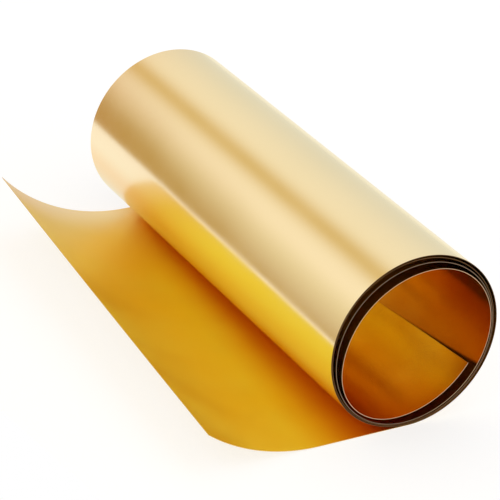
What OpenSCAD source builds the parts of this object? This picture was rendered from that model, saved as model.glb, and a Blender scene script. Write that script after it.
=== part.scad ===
// Roll of thin brass sheet, lying on its unrolled tail.
// The roll's axis runs along +Y, its tail points to -X and the floor is z = 0.
// The origin is the middle of the flat patch of tail that the roll rests on.
// Seen from the near end, at low y, the sheet winds inwards anticlockwise from the floor.

/* [Sheet] */
// Width of the sheet, which is the length of the roll
sheet_w = 200; // [120:1:260]
// Thickness of the sheet
sheet_t = 0.2; // [0.1:0.05:0.3]

/* [Roll] */
// Outside diameter of the outer turn
roll_d = 70.5; // [60:0.5:90]
// Steps from the outer turn in to the second one, at the bottom, right, top and left
second_in = [0.5, 1.2, 0.9, 0.5]; // [0.5:0.1:4]
// Steps from the second turn in to the third one, at the same four stations
third_in = [0.5, 0.5, 2.1, 1.7]; // [0.5:0.1:4]
// Steps from the third turn in to the fourth one
fourth_in = [0.6, 0.7, 3.3, 2.7]; // [0.5:0.1:4]
// Steps from the fourth turn in to the inner end, at the bottom and right
end_in = [2.9, 2.8]; // [0.5:0.1:4]
// Angle that the inner end runs on past the bottom
end_run = 58; // [10:1:85]

/* [Tail] */
// Length of tail that lies flat on the floor at the near edge
flat_near = 37; // [25:1:50]
// Length of tail that lies flat on the floor at the far edge
flat_far = 19; // [10:1:35]
// Radius of the curl that lifts the free edge
curl_r = 75.5; // [60:0.5:110]
// Whole length of tail along the near edge
tail_near = 87.5; // [70:0.5:100]
// Whole length of tail along the far edge
tail_far = 82.5; // [65:0.5:100]

/* [Hidden] */
$fn = 240;

roll_r = roll_d / 2;
steps_in = concat(second_in, third_in, fourth_in, end_in);
arc_count = len(steps_in) + 3;

// The line on the floor where the tail starts to lift, seen from above
lift_angle = atan((flat_near - flat_far) / sheet_w);
// Turn of the curl at each corner of the free edge
near_turn = (tail_near - flat_near) / curl_r * 180 / PI;
far_turn = (tail_far - flat_far) / curl_r * 180 / PI;
free_turn = (near_turn + far_turn) / 2;
free_skew = atan((far_turn - near_turn) * PI / 180 * curl_r / sheet_w);
reach = 2 * sheet_w;
// Distance from the middle of the flat patch to the line under the roll's axis
patch_x = (flat_near + flat_far) / 4;

// Direction at an angle, and that of a station, counted inwards from the floor
function ray(angle) = [cos(angle), sin(angle)];
function station_angle(i) = 90 * i - 90;
function station_ray(i) = [[0, -1], [1, 0], [0, 1], [-1, 0]][i % 4];

// Distance from the roll's centre to the outside of the sheet at a station
function station_r(i) = i < 4 ? roll_r : station_r(i - 4) - steps_in[i - 4];

// Quarter arcs as [centre, radius], each tangent to the one before it at a station
function wind(i, centre, r) = i == arc_count - 1 ? [[centre, r]] :
    let (
        next_r = station_r(i + 2) - centre * station_ray(i + 2),
        next_centre = centre + (r - next_r) * station_ray(i + 1)
    )
    concat([[centre, r]], wind(i + 1, next_centre, next_r));

arcs = wind(0, [0, 0], roll_r);

// Pie slice that is wider than a circle of radius r
module slice(r, from, to) {
    middle = (from + to) / 2;
    polygon([[0, 0], 2 * r * ray(from), 2 * r * ray(middle), 2 * r * ray(to)]);
}

// Stretch of the sheet's section, bent to the outside radius r
module bent(r, from, to) {
    intersection() {
        difference() {
            circle(r);
            circle(r - sheet_t);
        }
        slice(r, from, to);
    }
}

// Section of the wound sheet
module winding() {
    for (i = [0 : arc_count - 1]) {
        swing = i == arc_count - 1 ? end_run : 90;
        translate(arcs[i][0])
            bent(arcs[i][1], station_angle(i), station_angle(i) + swing);
    }
}

// Section of the tail across the line where it lifts: flat, then curling up
module tail_section() {
    square([flat_near + flat_far, sheet_t]);
    translate([0, curl_r]) bent(curl_r, -100 - max(near_turn, far_turn), -90);
}

// Half space on the roll's side of the free edge, which is cut askew to the curl
module inside_free_edge() {
    translate([0, 0, curl_r]) rotate([0, free_turn, 0]) translate([0, sheet_w / 2, 0])
        rotate([0, 0, free_skew]) translate([0, -reach, -reach]) cube(2 * reach);
}

// Tail on the floor between the roll and the free edge
module tail() {
    intersection() {
        translate([-flat_near, 0, 0]) rotate([0, 0, -lift_angle]) intersection() {
            rotate([90, 0, 0]) linear_extrude(2 * reach, center = true) tail_section();
            inside_free_edge();
        }
        translate([-reach, 0, -reach]) cube([reach, sheet_w, 2 * reach]);
    }
}

module brass_sheet() {
    color("goldenrod") translate([patch_x, -sheet_w / 2, 0]) {
        translate([0, sheet_w, roll_r]) rotate([90, 0, 0]) linear_extrude(sheet_w) winding();
        tail();
    }
}

brass_sheet();
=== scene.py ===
import math

import bpy
import numpy as np
from mathutils import Matrix, Vector


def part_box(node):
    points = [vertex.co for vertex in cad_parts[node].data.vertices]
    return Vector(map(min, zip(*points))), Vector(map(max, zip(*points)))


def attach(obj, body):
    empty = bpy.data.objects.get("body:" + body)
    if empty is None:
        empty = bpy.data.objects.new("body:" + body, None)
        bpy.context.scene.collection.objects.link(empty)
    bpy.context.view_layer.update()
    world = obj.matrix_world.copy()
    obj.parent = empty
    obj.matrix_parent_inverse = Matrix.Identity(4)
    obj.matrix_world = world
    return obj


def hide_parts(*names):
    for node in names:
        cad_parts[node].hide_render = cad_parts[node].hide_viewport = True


# A roll of thin brass sheet on its unrolled tail, in a white studio with a light tent

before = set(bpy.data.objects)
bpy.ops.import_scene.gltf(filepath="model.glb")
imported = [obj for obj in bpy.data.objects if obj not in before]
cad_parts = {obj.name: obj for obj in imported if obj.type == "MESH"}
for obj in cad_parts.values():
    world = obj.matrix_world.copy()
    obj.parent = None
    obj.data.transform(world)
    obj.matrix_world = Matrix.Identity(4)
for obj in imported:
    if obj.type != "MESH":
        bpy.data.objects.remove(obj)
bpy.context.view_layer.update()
scene = bpy.context.scene
sheetLow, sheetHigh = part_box("brass_sheet")

# The sheet, in metres: the CAD box gives the width, the roll's radius and the axis' place
brassSheet = {
    "width": sheetHigh.y - sheetLow.y,
    "thickness": 0.0002,
    "rollRadius": sheetHigh.z / 2,
    "axisX": sheetHigh.x - sheetHigh.z / 2,
    "stepsIn": [0.0005, 0.0012, 0.0009, 0.0005,   # second turn: bottom, right, top, left
                0.0005, 0.0005, 0.0021, 0.0017,   # third turn
                0.0006, 0.0007, 0.0033, 0.0027,   # fourth turn
                0.0029, 0.0028],                  # inner end: bottom and right
    "endRun": 58,            # degrees that the inner end runs on past the bottom
    "endSkew": 0.078,        # how much shorter it gets per metre along the roll
    "flatNear": 0.037,       # flat stretch of the tail at the near and the far edge
    "flatFar": 0.019,
    "curlRadius": 0.0755,
    "tailNear": 0.0875,      # whole tail along the near and the far edge
    "tailFar": 0.0825,
    "arcSteps": 36,          # grid steps to a quarter turn
    "flatSteps": 12,
    "curlSteps": 40,
    "rows": 72,              # grid steps across the width
    "cornerLift": 0.0026,    # how far the inner end springs in at its near corner
    "cornerReach": 0.026,    # and how far along the edge
    "cornerTurn": 130,       # and round the roll, in degrees
}


# Quarter arcs as centre and radius, each tangent to the one before it where they meet,
# which is right below, beside or above the roll's axis. An arc's centre moves from the
# last one's along the direction of that meeting point, by as much as the radius shrinks.
def windArcs(sheet):
    stations = [np.array(d, float) for d in ((0, -1), (1, 0), (0, 1), (-1, 0))]
    reach = [sheet["rollRadius"]] * 4
    for step in sheet["stepsIn"]:
        reach.append(reach[-4] - step)
    centre, radius = np.zeros(2), sheet["rollRadius"]
    arcs = [(centre, radius)]
    for i in range(len(reach) - 2):
        nextRadius = reach[i + 2] - centre @ stations[(i + 2) % 4]
        centre = centre + (radius - nextRadius) * stations[(i + 1) % 4]
        radius = nextRadius
        arcs.append((centre, radius))
    return arcs[:len(sheet["stepsIn"]) + 3]


# Outside of the winding, from the floor inwards and across the width, with its outward
# normals. A point is its arc's centre plus the arc's radius times the direction at its
# angle. The last arc swings less further along the roll, as its end is cut a little askew.
def windingGrid(sheet, y):
    points, normals = [], []
    arcs = windArcs(sheet)
    for i, (centre, radius) in enumerate(arcs):
        swing, count = np.full(len(y), 90.0), sheet["arcSteps"]
        if i == len(arcs) - 1:
            swing = sheet["endRun"] - np.degrees(sheet["endSkew"] * y / radius)
            count = round(count * sheet["endRun"] / 90)
        steps = (np.arange(count + 1) / count)[(0 if i == 0 else 1):]
        angle = np.radians(90 * i - 90 + steps[:, None] * swing[None, :])
        ray = np.stack([np.cos(angle), np.zeros_like(angle), np.sin(angle)], -1)
        points.append([centre[0], 0, centre[1]] + radius * ray)
        normals.append(ray)
    points, normals = np.concatenate(points), np.concatenate(normals)
    points += [sheet["axisX"], 0, sheet["rollRadius"]]
    points[..., 1] = y
    return points, normals


# How far out the inner end lies against its neighbour: a smooth ramp round the roll,
# times one minus a bell curve that leaves the near corner sprung in
def innerEndRest(sheet, count, y):
    stepsBack = np.arange(count)[::-1] * 90 / sheet["arcSteps"]
    ramp = np.clip(1 - stepsBack / sheet["cornerTurn"], 0, 1)
    ramp = ramp * ramp * (3 - 2 * ramp)
    bell = np.exp(-(y / sheet["cornerReach"]) ** 2)
    return sheet["cornerLift"] * ramp[:, None] * (1 - bell)[None, :]


# Outside of the whole sheet on a grid, from the free edge inwards and across the width.
# The tail's curl is a cylinder that touches the floor along a line askew to the roll: a
# point lies out from the line by the radius times the sine of its turn, and up by the
# radius times one minus the cosine. The free edge is a straight cut, askew to the curl.
def sheetGrid(sheet):
    y = sheet["width"] * np.arange(sheet["rows"] + 1) / sheet["rows"]
    lean = math.atan((sheet["flatNear"] - sheet["flatFar"]) / sheet["width"])
    sinLean, cosLean = math.sin(lean), math.cos(lean)
    share = y / sheet["width"]
    flat = sheet["flatNear"] + (sheet["flatFar"] - sheet["flatNear"]) * share
    nearTurn = (sheet["tailNear"] - sheet["flatNear"]) / sheet["curlRadius"]
    farTurn = (sheet["tailFar"] - sheet["flatFar"]) / sheet["curlRadius"]
    middleTurn = (nearTurn + farTurn) / 2
    endTurn = np.full(len(y), middleTurn)
    for _ in range(5):   # the cut's turn depends on its place along the line, which depends on it
        foot = (y - sinLean * sheet["curlRadius"] * np.sin(endTurn)) / cosLean
        endTurn = middleTurn + np.arcsin((farTurn - nearTurn) * (foot / sheet["width"] - 0.5))
    along = 1 - np.arange(sheet["curlSteps"]) / sheet["curlSteps"]
    turn = along[:, None] * endTurn[None, :]
    out = sheet["curlRadius"] * np.sin(turn)
    foot = (y[None, :] - sinLean * out) / cosLean
    curl = np.stack([-sheet["flatNear"] + foot * sinLean - out * cosLean,
                     np.broadcast_to(y, turn.shape),
                     sheet["curlRadius"] * (1 - np.cos(turn))], -1)
    curlNormal = np.stack([-cosLean * np.sin(turn), sinLean * np.sin(turn), -np.cos(turn)], -1)
    back = 1 - np.arange(sheet["flatSteps"]) / sheet["flatSteps"]
    x = -back[:, None] * flat[None, :]
    floorPart = np.stack([x, np.broadcast_to(y, x.shape), np.zeros_like(x)], -1)
    floorNormal = np.broadcast_to([0.0, 0.0, -1.0], floorPart.shape)
    wound, woundNormal = windingGrid(sheet, y)
    wound += woundNormal * innerEndRest(sheet, len(wound), y)[..., None]
    tailShift = np.array([sheet["axisX"], 0, 0])
    points = np.concatenate([curl + tailShift, floorPart + tailShift, wound])
    normals = np.concatenate([curlNormal, floorNormal, woundNormal])
    points[..., 1] -= sheet["width"] / 2
    return points, normals


# Length along the sheet and across it at each grid point, in metres
def sheetLengths(points):
    step = np.linalg.norm(np.diff(points, axis=0), axis=-1).mean(1)
    along = np.concatenate([[0], np.cumsum(step)])
    return np.broadcast_to(along[:, None], points.shape[:2]), points[..., 1]


# One closed mesh: the outside grid, the inside grid one thickness in along the normals, and
# strips of cut edge between their rims
def buildSheet(sheet):
    outside, normals = sheetGrid(sheet)
    along, across = sheetLengths(outside)
    inside = outside - sheet["thickness"] * normals
    inside[..., 1] = outside[..., 1]
    rows, cols = outside.shape[:2]
    count = rows * cols
    index = np.arange(count).reshape(rows, cols)
    a, b, c, d = index[:-1, :-1], index[1:, :-1], index[1:, 1:], index[:-1, 1:]
    outerFaces = np.stack([a, d, c, b], -1).reshape(-1, 4)
    innerFaces = np.stack([a, b, c, d], -1).reshape(-1, 4) + count
    rims = [(index[:, 0], False), (index[:, -1], True), (index[0], True), (index[-1], False)]
    strips = []
    for rim, flip in rims:
        quad = [rim[:-1], rim[1:], rim[1:] + count, rim[:-1] + count]
        strips.append(np.stack(quad[::-1] if flip else quad, -1))
    faces = np.concatenate([outerFaces, innerFaces] + strips)
    verts = np.concatenate([outside.reshape(-1, 3), inside.reshape(-1, 3)])

    mesh = bpy.data.meshes.new("brassSheet")
    mesh.from_pydata(verts, [], faces.tolist())
    material = np.zeros(len(faces), np.int32)             # 0 outside, 1 inside, 2 cut edge
    material[len(outerFaces):] = 1
    material[len(outerFaces) + len(innerFaces):] = 2
    mesh.polygons.foreach_set("material_index", material)
    mesh.polygons.foreach_set("use_smooth", np.ones(len(faces), bool))
    uv = np.stack([along, across], -1).reshape(-1, 2)
    uv = np.concatenate([uv, uv])
    layer = mesh.uv_layers.new(name="sheetLengths")
    corner = np.zeros(len(mesh.loops), np.int32)
    mesh.loops.foreach_get("vertex_index", corner)
    layer.uv.foreach_set("vector", uv[corner].astype(np.float32).ravel())

    # The rims are sharp, the rest is smooth
    edgeVerts = np.zeros(len(mesh.edges) * 2, np.int32)
    mesh.edges.foreach_get("vertices", edgeVerts)
    edgeVerts = edgeVerts.reshape(-1, 2)
    onRim = np.zeros(2 * count, bool)
    for rim, _ in rims:
        onRim[rim] = onRim[rim + count] = True
    sharp = onRim[edgeVerts].all(1) & ((edgeVerts[:, 0] < count) == (edgeVerts[:, 1] < count))
    mesh.attributes.new("sharp_edge", "BOOLEAN", "EDGE").data.foreach_set("value", sharp)
    mesh.update()
    piece = bpy.data.objects.new("brass_sheet_metal", mesh)
    scene.collection.objects.link(piece)
    return piece


def newMaterial(name):
    material = bpy.data.materials.new(name)
    material.use_nodes = True
    material.node_tree.nodes.clear()
    material.cycles.emission_sampling = "NONE"   # the metal finds the tent by reflection
    return material, material.node_tree


def addNode(tree, kind, **values):
    node = tree.nodes.new(kind)
    for key, value in values.items():
        setattr(node, key, value)
    return node


def toSurface(tree, shader):
    output = addNode(tree, "ShaderNodeOutputMaterial")
    tree.links.new(shader, output.inputs["Surface"])


# Rolled metal: faint lines along the sheet's length, cloudy tone and shallow waves
rolledMetal = {
    "lineStretch": (12, 1600, 1),   # noise to a metre along the sheet and across it
    "lineDetail": 4.0,
    "lineDepth": 0.5,
    "lineBump": 0.1,                # strength of the lines' bump, and its height in metres
    "lineHeight": 0.00002,
    "cloudSize": 25.0,              # clouds to a metre
    "cloudDetail": 3.0,
    "cloudRange": (0.3, 0.7),       # clouds that give a finish's smooth and its dull roughness
    "waveDetail": 1.0,
    "waveHeight": 0.001,
}


def rolledMetalGroup(look):
    group = bpy.data.node_groups.new("rolledMetal", "ShaderNodeTree")
    face = group.interface
    face.new_socket("Along and Across", in_out="INPUT", socket_type="NodeSocketVector")
    for name in ("Line Depth", "Cloud Size", "Wave Size"):
        face.new_socket(name, in_out="INPUT", socket_type="NodeSocketFloat")
    for name in ("Lines", "Clouds", "Waves"):
        face.new_socket(name, in_out="OUTPUT", socket_type="NodeSocketFloat")
    nodes, link = group.nodes, group.links.new
    source, sink = nodes.new("NodeGroupInput"), nodes.new("NodeGroupOutput")
    stretched = nodes.new("ShaderNodeMapping")
    stretched.inputs["Scale"].default_value = look["lineStretch"]
    link(source.outputs["Along and Across"], stretched.inputs["Vector"])
    lines = nodes.new("ShaderNodeTexNoise")
    lines.inputs["Scale"].default_value = 1.0
    lines.inputs["Detail"].default_value = look["lineDetail"]
    link(stretched.outputs["Vector"], lines.inputs["Vector"])
    depth = addNode(group, "ShaderNodeMath", operation="MULTIPLY")
    link(lines.outputs["Fac"], depth.inputs[0])
    link(source.outputs["Line Depth"], depth.inputs[1])
    link(depth.outputs[0], sink.inputs["Lines"])
    for name, detail in (("Cloud", look["cloudDetail"]), ("Wave", look["waveDetail"])):
        noise = nodes.new("ShaderNodeTexNoise")
        noise.inputs["Detail"].default_value = detail
        link(source.outputs["Along and Across"], noise.inputs["Vector"])
        link(source.outputs[name + " Size"], noise.inputs["Scale"])
        link(noise.outputs["Fac"], sink.inputs[name + "s"])
    return group


# Finish, painted light and painted shade by place on the sheet, in metres along it from the free
# edge (X) or across it (Y):
# each stretch blends in over its ramp, out of what comes before it, and its colour and
# roughness vary between two values with the clouds
outerFinishAndPaintedLight = {
    "rim": (0.94, 0.94, 0.82),   # tint of what the metal mirrors at a low angle
    "waveSize": 14,              # waves to a metre
    "waveDepth": 0.3,            # and how much they bend what the metal mirrors
    "stretches": [
        # the right side and the top
        {"dark": (0.91, 0.73, 0.41), "light": (0.95, 0.77, 0.45), "smooth": 0.15, "dull": 0.21},
        {"by": "X", "ramp": (0.225, 0.245),      # beside the tail, paler: a painted highlight
         "dark": (0.96, 0.80, 0.54), "light": (1.0, 0.84, 0.58), "smooth": 0.15, "dull": 0.21},
        {"by": "X", "ramp": (0.249, 0.260),      # where it mirrors the tail, deeper: a painted reflection
         "dark": (0.96, 0.69, 0.40), "light": (1.0, 0.73, 0.44), "smooth": 0.15, "dull": 0.21},
        {"by": "X", "ramp": (0.263, 0.283),      # and paler again below: painted light that lifts what the roll and the tail mirror of each other
         "dark": (0.96, 0.80, 0.50), "light": (1.0, 0.84, 0.54), "smooth": 0.15, "dull": 0.21},
    ],
}
innerFinishPaintedShadeAndLight = {
    "rim": (0.95, 0.86, 0.90),
    "waveSize": 32,
    "waveDepth": 0.5,
    "stretches": [
        # the tail
        {"dark": (1.0, 0.79, 0.05), "light": (1.0, 0.91, 0.12), "smooth": 0.38, "dull": 0.46},
        {"by": "Y", "ramp": (0.03, 0.09),        # its far end, more orange
         "dark": (0.88, 0.61, 0.07), "light": (0.98, 0.75, 0.14), "smooth": 0.38, "dull": 0.46},
        {"by": "Y", "ramp": (0.072, 0.102),      # and paler at the very end: a painted sheen
         "dark": (0.95, 0.76, 0.36), "light": (1.0, 0.80, 0.40), "smooth": 0.38, "dull": 0.46},
        {"by": "X", "ramp": (0.047, 0.070),      # crease beside the roll, darker: painted shade
         "dark": (0.78, 0.41, 0.03), "light": (0.84, 0.47, 0.05), "smooth": 0.28, "dull": 0.31},
        {"by": "X", "ramp": (0.120, 0.160),      # winding, darker and more orange than the tail: painted shade inside the roll
         "dark": (0.84, 0.54, 0.06), "light": (0.92, 0.65, 0.12), "smooth": 0.17, "dull": 0.23},
        {"by": "X", "ramp": (0.670, 0.700),      # painted shade in the gap under the inner end
         "dark": (0.62, 0.38, 0.12), "light": (0.70, 0.44, 0.15), "smooth": 0.17, "dull": 0.23},
        {"by": "X", "ramp": (0.755, 0.775),      # bore: painted shade, a little less deep than in the gap
         "dark": (0.80, 0.48, 0.05), "light": (0.88, 0.58, 0.10), "smooth": 0.17, "dull": 0.23},
        {"by": "X", "ramp": (0.930, 0.946),      # inner end, lighter again: painted light
         "dark": (1.0, 0.79, 0.09), "light": (1.0, 0.91, 0.16), "smooth": 0.17, "dull": 0.23},
    ],
}
edgeFinishAndPaintedShade = {
    "rim": (1.0, 0.72, 0.45),
    "waveSize": 14,
    "waveDepth": 0.3,
    "stretches": [
        # the tail
        {"dark": (0.78, 0.55, 0.20), "light": (0.84, 0.62, 0.26), "smooth": 0.35, "dull": 0.5},
        {"by": "X", "ramp": (0.075, 0.095),      # outer turns: painted shade, dark
         "dark": (0.16, 0.08, 0.03), "light": (0.24, 0.13, 0.06), "smooth": 0.35, "dull": 0.5},
        {"by": "X", "ramp": (0.53, 0.57),        # third turn: painted shade, a dim grey line
         "dark": (0.27, 0.18, 0.11), "light": (0.36, 0.26, 0.18), "smooth": 0.35, "dull": 0.5},
        {"by": "X", "ramp": (0.72, 0.76),        # inner turn: painted shade, dim orange
         "dark": (0.60, 0.38, 0.20), "light": (0.75, 0.55, 0.36), "smooth": 0.3, "dull": 0.45},
        {"by": "X", "ramp": (0.960, 0.961),      # cut end inside the bore: painted shade, near black
         "dark": (0.10, 0.04, 0.02), "light": (0.14, 0.06, 0.03), "smooth": 0.35, "dull": 0.5},
    ],
}


# A stretch's own colour and roughness, both led by the clouds
def stretchToneAndPaintedLight(tree, stretch, clouds, cloudRange):
    tone = addNode(tree, "ShaderNodeMix", data_type="RGBA")
    tone.inputs[6].default_value = (*stretch["dark"], 1)
    tone.inputs[7].default_value = (*stretch["light"], 1)
    tree.links.new(clouds, tone.inputs[0])
    rough = addNode(tree, "ShaderNodeMapRange")
    for name, value in zip(("From Min", "From Max", "To Min", "To Max"),
                           (*cloudRange, stretch["smooth"], stretch["dull"])):
        rough.inputs[name].default_value = value
    tree.links.new(clouds, rough.inputs["Value"])
    return tone.outputs[2], rough.outputs["Result"]


# Mix of two colours or two numbers: the sockets of a Mix node go by its kind
def mixOver(tree, kind, share, before, after):
    first, second, result = {"RGBA": (6, 7, 2), "FLOAT": (2, 3, 0)}[kind]
    node = addNode(tree, "ShaderNodeMix", data_type=kind)
    tree.links.new(share, node.inputs[0])
    tree.links.new(before, node.inputs[first])
    tree.links.new(after, node.inputs[second])
    return node.outputs[result]


def addBump(tree, height, strength, distance):
    bump = addNode(tree, "ShaderNodeBump")
    bump.inputs["Strength"].default_value = strength
    bump.inputs["Distance"].default_value = distance
    tree.links.new(height, bump.inputs["Height"])
    return bump


def brassMaterial(name, finishAndPaintedLight, look, rolled):
    material, tree = newMaterial(name)
    link = tree.links.new
    lengths = addNode(tree, "ShaderNodeUVMap", uv_map="sheetLengths")
    pattern = addNode(tree, "ShaderNodeGroup", node_tree=rolled)
    pattern.inputs["Line Depth"].default_value = look["lineDepth"]
    pattern.inputs["Cloud Size"].default_value = look["cloudSize"]
    pattern.inputs["Wave Size"].default_value = finishAndPaintedLight["waveSize"]
    link(lengths.outputs["UV"], pattern.inputs["Along and Across"])
    alongAcross = addNode(tree, "ShaderNodeSeparateXYZ")
    link(lengths.outputs["UV"], alongAcross.inputs[0])

    clouds, tone, rough = pattern.outputs["Clouds"], None, None
    for stretch in finishAndPaintedLight["stretches"]:
        ownTone, ownRough = stretchToneAndPaintedLight(tree, stretch, clouds, look["cloudRange"])
        if tone is None:
            tone, rough = ownTone, ownRough
            continue
        share = addNode(tree, "ShaderNodeMapRange", interpolation_type="SMOOTHSTEP")
        share.inputs["From Min"].default_value = stretch["ramp"][0]
        share.inputs["From Max"].default_value = stretch["ramp"][1]
        link(alongAcross.outputs[stretch["by"]], share.inputs["Value"])
        tone = mixOver(tree, "RGBA", share.outputs["Result"], tone, ownTone)
        rough = mixOver(tree, "FLOAT", share.outputs["Result"], rough, ownRough)

    waves = addBump(tree, pattern.outputs["Waves"], finishAndPaintedLight["waveDepth"], look["waveHeight"])
    lines = addBump(tree, pattern.outputs["Lines"], look["lineBump"], look["lineHeight"])
    link(waves.outputs["Normal"], lines.inputs["Normal"])
    metal = addNode(tree, "ShaderNodeBsdfPrincipled")
    metal.inputs["Metallic"].default_value = 1.0
    metal.inputs["Specular Tint"].default_value = (*finishAndPaintedLight["rim"], 1)
    link(tone, metal.inputs["Base Color"])
    link(rough, metal.inputs["Roughness"])
    link(lines.outputs["Normal"], metal.inputs["Normal"])
    toSurface(tree, metal.outputs[0])
    return material


# Light tent, a cylinder of white cloth along Y round the object, which the camera doesn't
# see. It has a narrow warm band over the roll, a wide cool one on the right, slight tints
# on the left and a warm dark stretch low on the left. Angles run from +X over the top to -X.
lightTent = {
    "radius": 0.6,
    "halfLength": 1.2,
    "angleSteps": 180,
    "lengthSteps": 160,
    # Bands: angle, half width, degrees that the angle climbs per metre along Y, and the
    # share of red, green and blue taken
    "bands": [(99.8, 13, -12, (0.25, 0.39, 0.66)),
              (15, 42, 0, (0.15, 0.11, 0.0)),
              (136, 18, 0, (-0.05, -0.04, -0.07)),
              (165, 22, 0, (0.0, 0.0, 0.12))],
    "bandReach": 0.15,                    # metres from middleY up to which the bands climb
    "lowStart": 129,                      # where the low stretch starts, at middleY
    "lowEnd": 193,                        # and where it is deepest
    "lowCurve": 1.15,
    "lowTakes": (0.48, 0.64, 0.88),       # share taken where it is deepest
    "lowLean": 170,                       # degrees that its start climbs per metre along Y
    "lowMost": (-9, 30),                  # and the most that it falls and climbs
    "lowFade": (260, 290),                # it fades again between these angles, under the floor
    "middleY": 0.68,                      # where the roll's middle is mirrored
    "farFrom": 0.89,                      # past the part that the roll mirrors, the cloth turns
    "farTo": 0.98,                        # warmer and darker, for the bore and the tail's far end
    "farTakes": (0.10, 0.38, 0.45),
}


# The glow is white times one minus a bell curve round each band's angle, times one minus
# a ramp between the angles where the low stretch starts and where it is deepest, times
# one minus a straight ramp along Y past the part that the roll mirrors. The bands and the
# low stretch climb along Y.
def tentGlow(tent, angle, y):
    glow = np.ones((len(angle), len(y), 3))
    along = y - tent["middleY"]
    reach = np.clip(along, -tent["bandReach"], tent["bandReach"])
    for middle, width, lean, takes in tent["bands"]:
        off = angle[:, None] - middle - lean * reach[None, :]
        glow *= 1 - np.exp(-(off / width) ** 2)[..., None] * np.array(takes)
    climb = np.clip(tent["lowLean"] * along, *tent["lowMost"])
    low = angle[:, None] + climb[None, :] - tent["lowStart"]
    low /= tent["lowEnd"] - tent["lowStart"]
    fadeFrom, fadeTo = tent["lowFade"]
    fade = np.clip((fadeTo - angle[:, None]) / (fadeTo - fadeFrom), 0, 1)
    low = np.clip(low, 0, 1) ** tent["lowCurve"] * fade
    far = np.clip((y - tent["farFrom"]) / (tent["farTo"] - tent["farFrom"]), 0, 1)[None, :, None]
    glow *= 1 - low[..., None] * np.array(tent["lowTakes"])
    return glow * (1 - far * np.array(tent["farTakes"]))


# A point of the tent is the radius times the cosine and the sine of its angle, at its place
# along Y. The glow is worked out at the points and rides on the mesh as an attribute.
def buildTent(tent):
    angle = np.linspace(-90, 270, tent["angleSteps"] + 1)
    y = np.linspace(-tent["halfLength"], tent["halfLength"], tent["lengthSteps"] + 1)
    points = np.zeros((len(angle), len(y), 3))
    points[..., 0] = tent["radius"] * np.cos(np.radians(angle))[:, None]
    points[..., 1] = y[None, :]
    points[..., 2] = tent["radius"] * np.sin(np.radians(angle))[:, None]
    index = np.arange(points.size // 3).reshape(len(angle), len(y))
    faces = np.stack([index[:-1, :-1], index[1:, :-1], index[1:, 1:], index[:-1, 1:]], -1)
    mesh = bpy.data.meshes.new("lightTent")
    mesh.from_pydata(points.reshape(-1, 3), [], faces.reshape(-1, 4).tolist())
    glow = np.ones((len(angle), len(y), 4))
    glow[..., :3] = tentGlow(tent, angle, y)
    colours = mesh.attributes.new("tentGlow", "FLOAT_COLOR", "POINT")
    colours.data.foreach_set("color", glow.astype(np.float32).ravel())
    tentObject = bpy.data.objects.new("lightTent", mesh)
    scene.collection.objects.link(tentObject)
    tentObject.visible_camera = False
    material, tree = newMaterial("tentCloth")
    shade = addNode(tree, "ShaderNodeAttribute", attribute_name="tentGlow")
    cloth = addNode(tree, "ShaderNodeEmission")
    tree.links.new(shade.outputs["Color"], cloth.inputs["Color"])
    toSurface(tree, cloth.outputs[0])
    mesh.materials.append(material)


# A level sheet with four corners, turned a little by leaning its long sides over
def layFlat(name, look):
    lean = math.tan(math.radians(look["turn"]))
    sides = (("left", "near"), ("right", "near"), ("right", "far"), ("left", "far"))
    corners = [(look[side] - lean * look[end], look[end], look["height"]) for side, end in sides]
    mesh = bpy.data.meshes.new(name)
    mesh.from_pydata(corners, [], [(0, 1, 2, 3)])
    flat = bpy.data.objects.new(name, mesh)
    scene.collection.objects.link(flat)
    return flat


# A sheet of white paper under the roll. Its own glow brings it up to the white around it.
floorLook = {
    "left": -0.1225, "right": 0.45, "near": -0.7, "far": 0.6,
    "turn": 6.5,
    "height": -0.0002,
    "paper": 0.42,
    "glow": 0.66,
}


def buildFloor(look):
    floor = layFlat("floorSweep", look)
    material, tree = newMaterial("floorPaper")
    paper = addNode(tree, "ShaderNodeBsdfDiffuse")
    paper.inputs["Color"].default_value = (look["paper"],) * 3 + (1,)
    glow = addNode(tree, "ShaderNodeEmission")
    glow.inputs["Strength"].default_value = look["glow"]
    both = addNode(tree, "ShaderNodeAddShader")
    tree.links.new(paper.outputs[0], both.inputs[0])
    tree.links.new(glow.outputs[0], both.inputs[1])
    toSurface(tree, both.outputs[0])
    floor.data.materials.append(material)


# A dark flag lying behind the far end, which only the metal mirrors: painted shade on the floor
# there, so that the bore is deep
paintedShadeFlag = {
    "left": 0.0, "right": 0.055, "near": 0.113, "far": 0.45,
    "turn": 0,
    "height": 0.0004,
    "shade": (0.30, 0.09, 0.03),
}


def buildFlag(look):
    flag = layFlat("paintedShadeFlag", look)
    flag.visible_camera = flag.visible_diffuse = flag.visible_shadow = False
    material, tree = newMaterial("flagCloth")
    cloth = addNode(tree, "ShaderNodeEmission")
    cloth.inputs["Color"].default_value = (*look["shade"], 1)
    toSurface(tree, cloth.outputs[0])
    flag.data.materials.append(material)


# White all round for the camera and for what metal mirrors, softer for the rest
studioWhite = {"seen": 1.0, "soft": 0.8}


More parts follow.
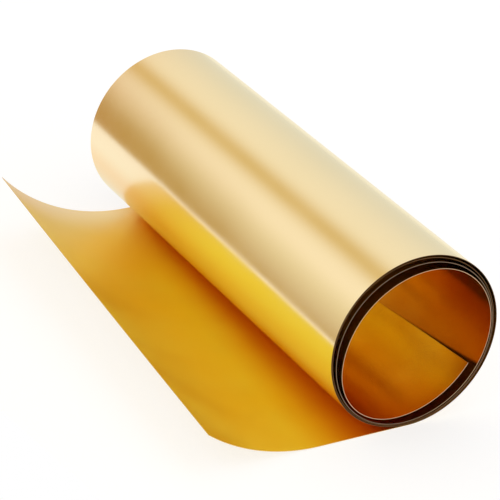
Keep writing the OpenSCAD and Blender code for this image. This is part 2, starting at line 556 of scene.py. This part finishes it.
def buildWorld(look):
    world = bpy.data.worlds.new("studioWhite")
    world.use_nodes = True
    tree = world.node_tree
    tree.nodes.clear()
    path = addNode(tree, "ShaderNodeLightPath")
    seen = addNode(tree, "ShaderNodeMath", operation="MAXIMUM")
    tree.links.new(path.outputs["Is Camera Ray"], seen.inputs[0])
    tree.links.new(path.outputs["Is Glossy Ray"], seen.inputs[1])
    seenToo = addNode(tree, "ShaderNodeMath", operation="MAXIMUM")
    tree.links.new(seen.outputs[0], seenToo.inputs[0])
    tree.links.new(path.outputs["Is Transmission Ray"], seenToo.inputs[1])
    strength = addNode(tree, "ShaderNodeMapRange")
    strength.inputs["To Min"].default_value = look["soft"]
    strength.inputs["To Max"].default_value = look["seen"]
    tree.links.new(seenToo.outputs[0], strength.inputs["Value"])
    sky = addNode(tree, "ShaderNodeBackground")
    sky.inputs["Color"].default_value = (1, 1, 1, 1)
    tree.links.new(strength.outputs["Result"], sky.inputs["Strength"])
    output = addNode(tree, "ShaderNodeOutputWorld")
    tree.links.new(sky.outputs[0], output.inputs["Surface"])
    scene.world = world
    world.cycles.sampling_method = "NONE"


# Camera at the photo's viewing angle, looking down on the near end from its left
photoCamera = {
    "heading": 30.27,        # degrees from +Y towards +X
    "down": 27.31,
    "tilt": 3.72,
    "distance": 0.994,
    "target": (0.0006, 0.0, 0.0274),
    "lens": 182.5,
    "clip": (0.01, 50),
}


def buildCamera(view):
    heading, down, tilt = (math.radians(view[k]) for k in ("heading", "down", "tilt"))
    look = Vector((math.sin(heading) * math.cos(down),
                   math.cos(heading) * math.cos(down), -math.sin(down)))
    right = look.cross(Vector((0, 0, 1))).normalized()
    up = right.cross(look)
    tiltedRight = right * math.cos(tilt) + up * math.sin(tilt)
    tiltedUp = up * math.cos(tilt) - right * math.sin(tilt)
    place = Vector(view["target"]) - look * view["distance"]
    data = bpy.data.cameras.new("photoCamera")
    data.lens = view["lens"]
    data.clip_start, data.clip_end = view["clip"]
    camera = bpy.data.objects.new("photoCamera", data)
    turn = Matrix((tiltedRight, tiltedUp, -look)).transposed()
    camera.matrix_world = Matrix.Translation(place) @ turn.to_4x4()
    scene.collection.objects.link(camera)
    scene.camera = camera


print("winding the sheet")
sheetPiece = buildSheet(brassSheet)

print("finishing the brass")
rolled = rolledMetalGroup(rolledMetal)
for name, finishAndPaintedLight in (("brassOutside", outerFinishAndPaintedLight), ("brassInside", innerFinishPaintedShadeAndLight),
                     ("brassCutEdge", edgeFinishAndPaintedShade)):
    sheetPiece.data.materials.append(brassMaterial(name, finishAndPaintedLight, rolledMetal, rolled))
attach(sheetPiece, "root")
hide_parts("brass_sheet")

print("setting up the studio")
buildTent(lightTent)
buildFloor(floorLook)
buildFlag(paintedShadeFlag)
buildWorld(studioWhite)
scene.view_settings.view_transform = "Standard"
scene.cycles.max_bounces = scene.cycles.glossy_bounces = 32   # light runs deep between the turns

print("placing the camera")
buildCamera(photoCamera)

print("done")
